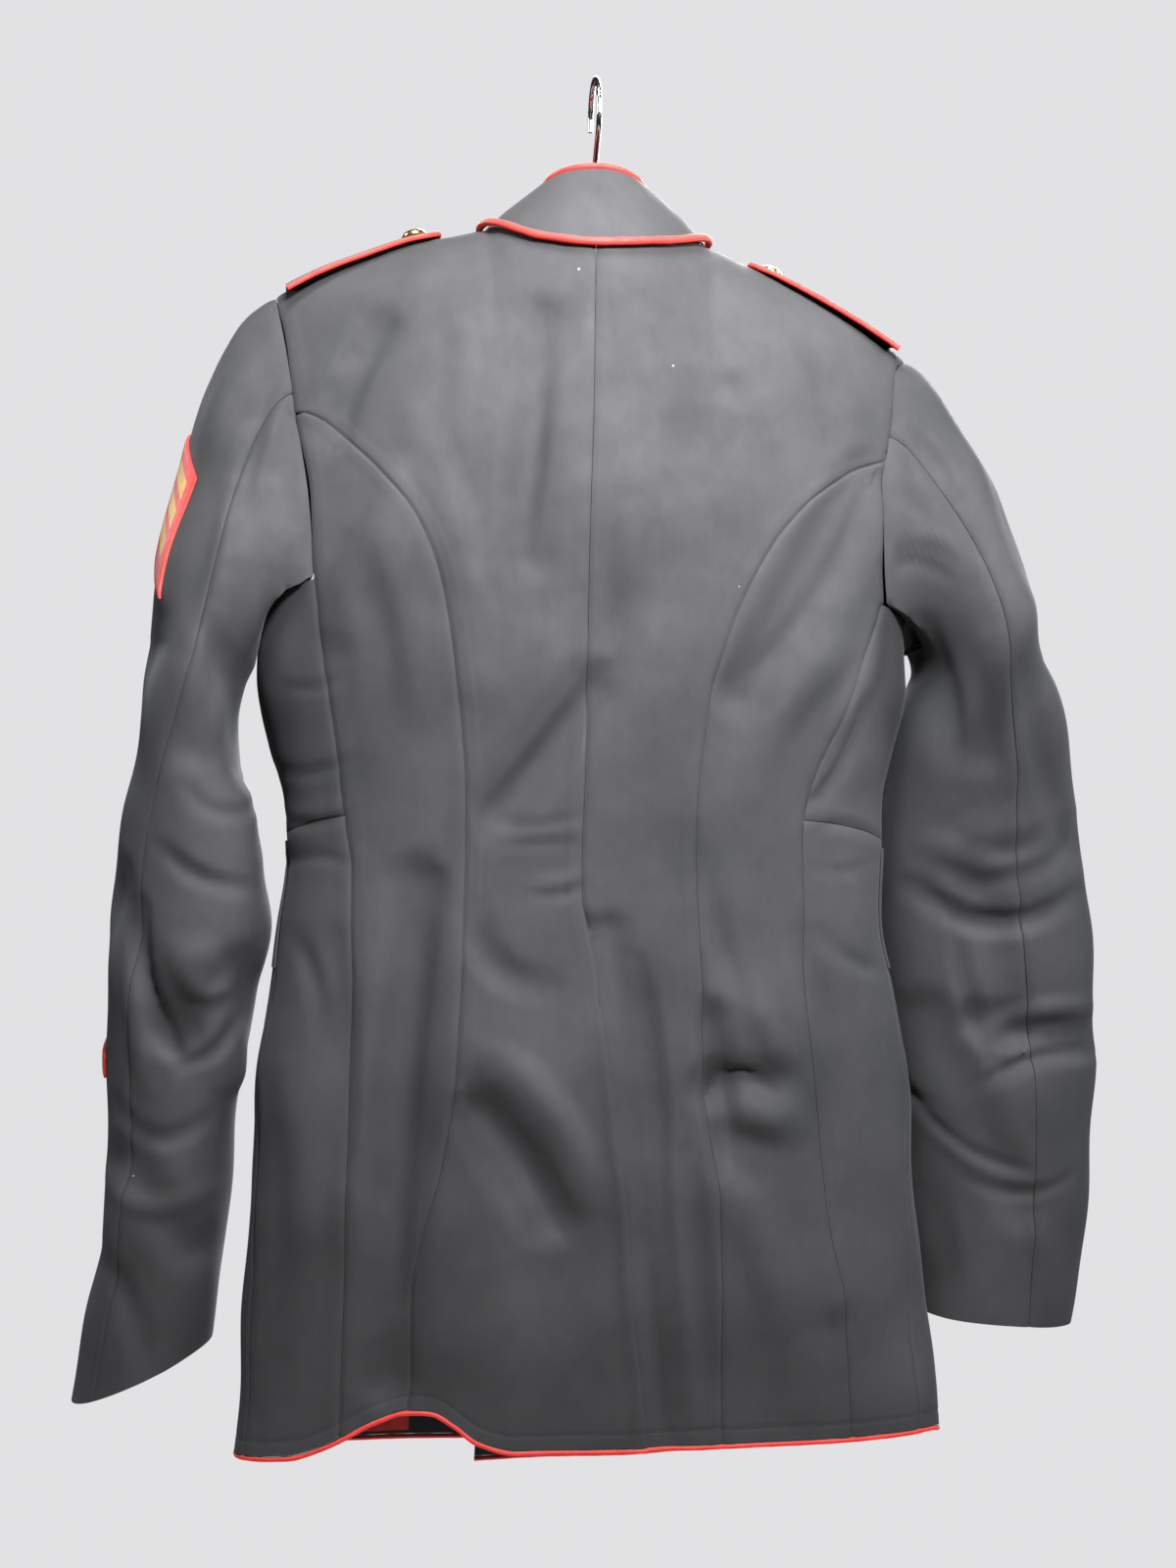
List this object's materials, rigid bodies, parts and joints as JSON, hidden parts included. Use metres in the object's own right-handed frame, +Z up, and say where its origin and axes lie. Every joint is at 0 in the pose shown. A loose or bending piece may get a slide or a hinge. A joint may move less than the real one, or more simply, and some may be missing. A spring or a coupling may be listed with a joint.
{
  "type": "dress coat on a hanger",
  "caption": "Fitted standing-collar uniform coat with piped edges, hanging closed and empty from a wire hook.",
  "frame": {"origin": "inside the top of the hanger's hook, where a rail carries it", "axes": "+Z up, +Y out of the coat's back, +X towards the wearer's left"},
  "size_m": [0.6319, 0.1688, 0.8443],
  "materials": {
    "navy_wool": "close dark wool twill, soft sheen",
    "scarlet_cloth": "matt scarlet cloth",
    "gold_braid": "gold embroidery",
    "brass": "polished",
    "hanger_wood": "plain varnish",
    "chrome": "bright plated wire"
  },
  "bodies": {
    "root": {"back_left": "navy_wool", "back_right": "navy_wool", "side_back_left": "navy_wool", "side_back_right": "navy_wool", "side_upper_left": "navy_wool", "side_upper_right": "navy_wool", "side_lower_left": "navy_wool", "side_lower_right": "navy_wool", "front_left": "navy_wool", "front_right": "navy_wool", "collar": "navy_wool", "sleeve_top_left": "navy_wool", "sleeve_top_right": "navy_wool", "sleeve_under_left": "navy_wool", "sleeve_under_right": "navy_wool", "shoulder_strap_left": "navy_wool", "shoulder_strap_right": "navy_wool", "slit_welt_left": "navy_wool", "slit_welt_right": "navy_wool", "collar_top_piping": "scarlet_cloth", "collar_neck_piping": "scarlet_cloth", "hem_piping_left": "scarlet_cloth", "hem_piping_right": "scarlet_cloth", "strap_piping_left": "scarlet_cloth", "strap_piping_right": "scarlet_cloth", "front_facing_left": "scarlet_cloth", "rank_patch_left": "scarlet_cloth", "rank_patch_right": "scarlet_cloth", "service_stripe_left": "gold_braid", "service_stripe_right": "gold_braid", "front_button_1": "brass", "front_button_2": "brass", "front_button_3": "brass", "front_button_4": "brass", "front_button_5": "brass", "front_button_6": "brass", "front_button_7": "brass", "strap_button_left": "brass", "strap_button_right": "brass", "hanger_bar": "hanger_wood", "hanger_hook": "chrome"}
  },
  "joints": []
}
